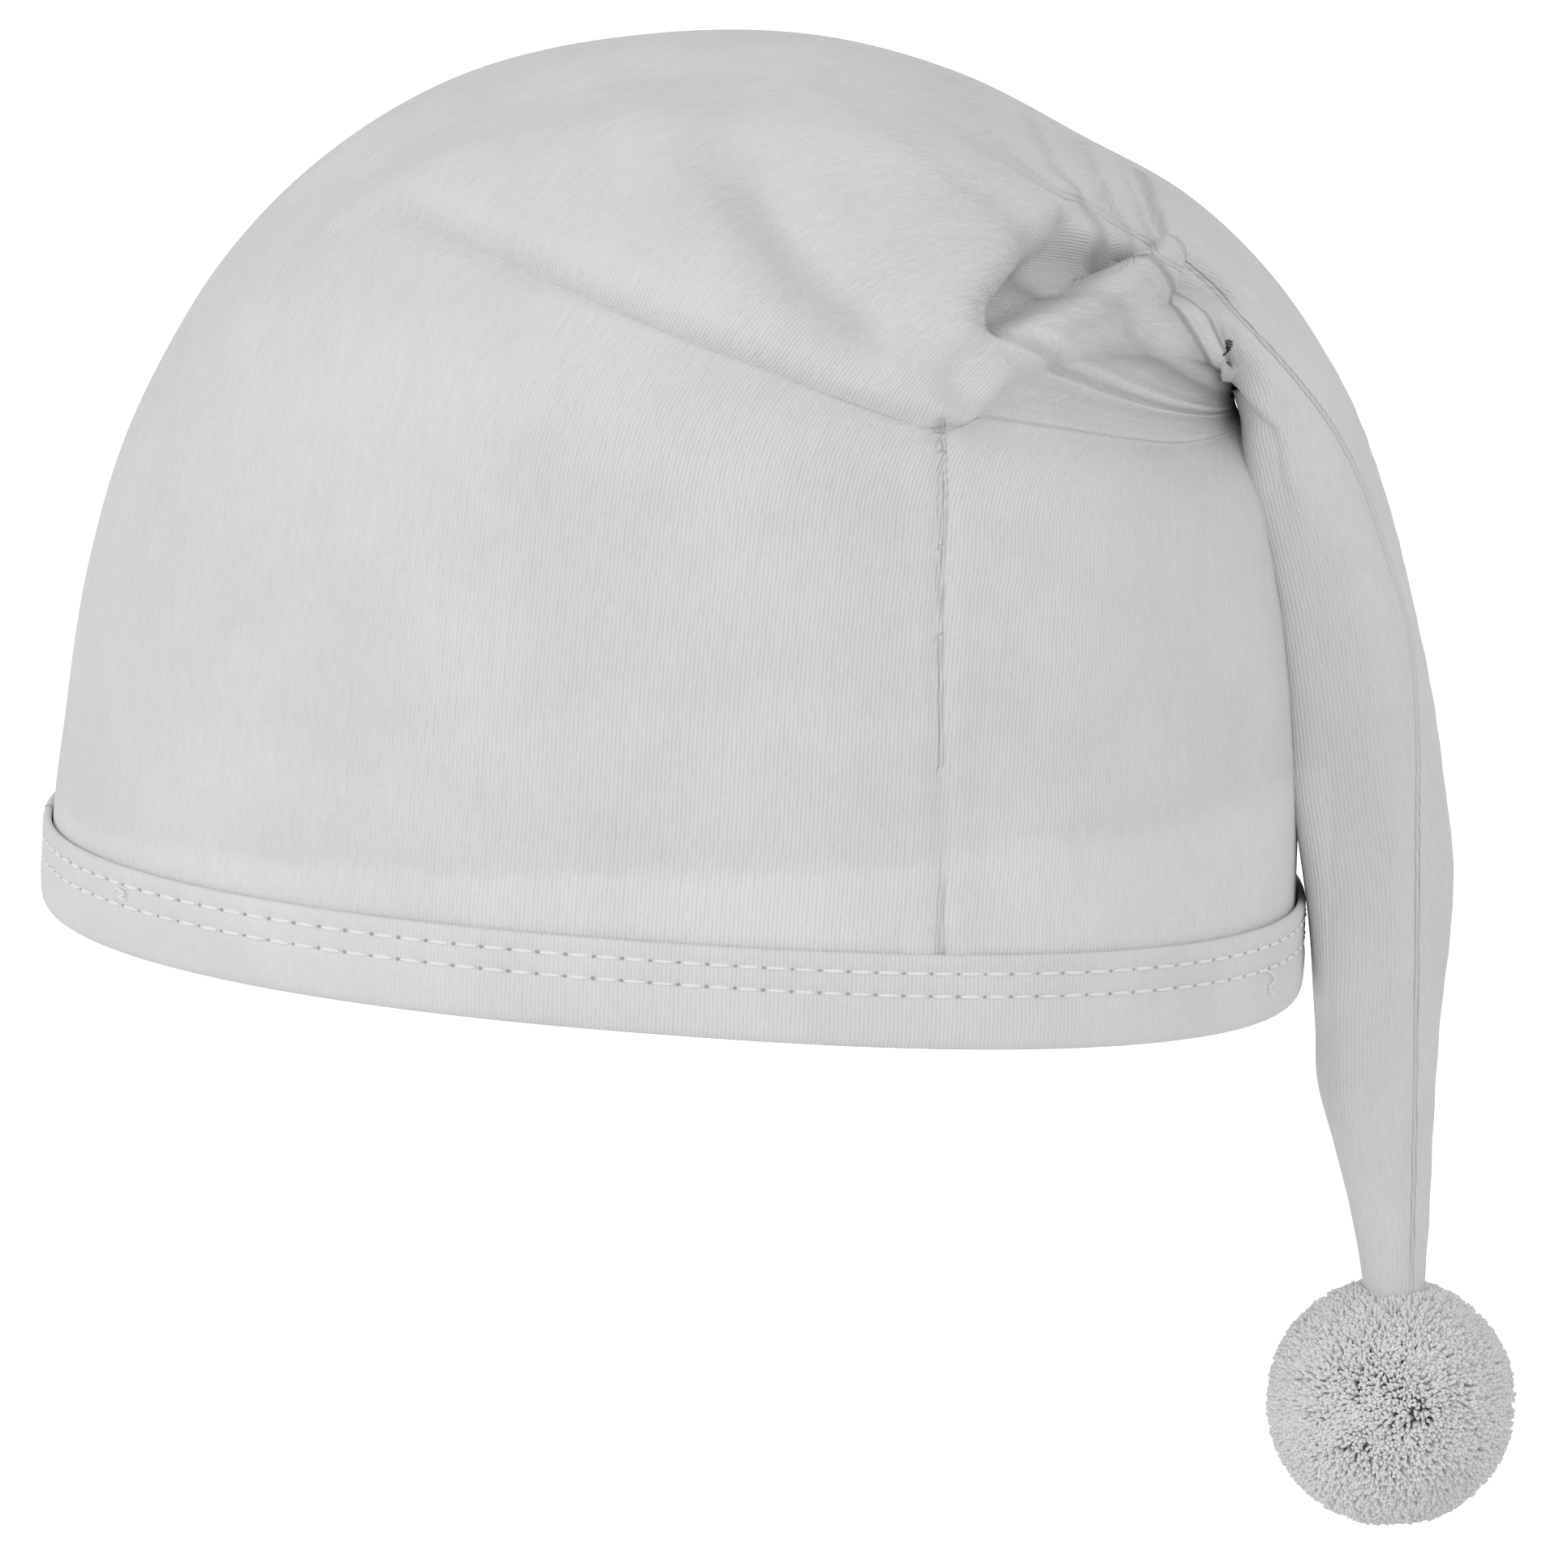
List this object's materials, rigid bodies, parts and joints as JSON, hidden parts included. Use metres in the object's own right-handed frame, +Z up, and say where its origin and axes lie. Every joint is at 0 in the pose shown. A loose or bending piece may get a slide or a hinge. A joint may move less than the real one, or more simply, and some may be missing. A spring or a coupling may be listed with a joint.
{
  "type": "nightcap",
  "caption": "White jersey nightcap, worn form: rounded crown, long tail folded over it and hanging behind, stitched hem band, yarn pompom.",
  "frame": {"origin": "middle of the opening for the head, at the mean level of the hem's lower edge", "axes": "+Z up through the crown, -X towards the forehead, +X towards the back of the head where the tail hangs, -Y the side seen in the picture"},
  "size_m": [0.2341, 0.161, 0.2393],
  "materials": {
    "jersey": "matt white cotton jersey, fine vertical knit",
    "hem_jersey": "doubled white jersey with two rows of stitching",
    "yarn": "cut white yarn, matt and dense"
  },
  "bodies": {
    "root": {"cap": "jersey", "hem_band": "hem_jersey", "pompom": "yarn"}
  },
  "joints": []
}
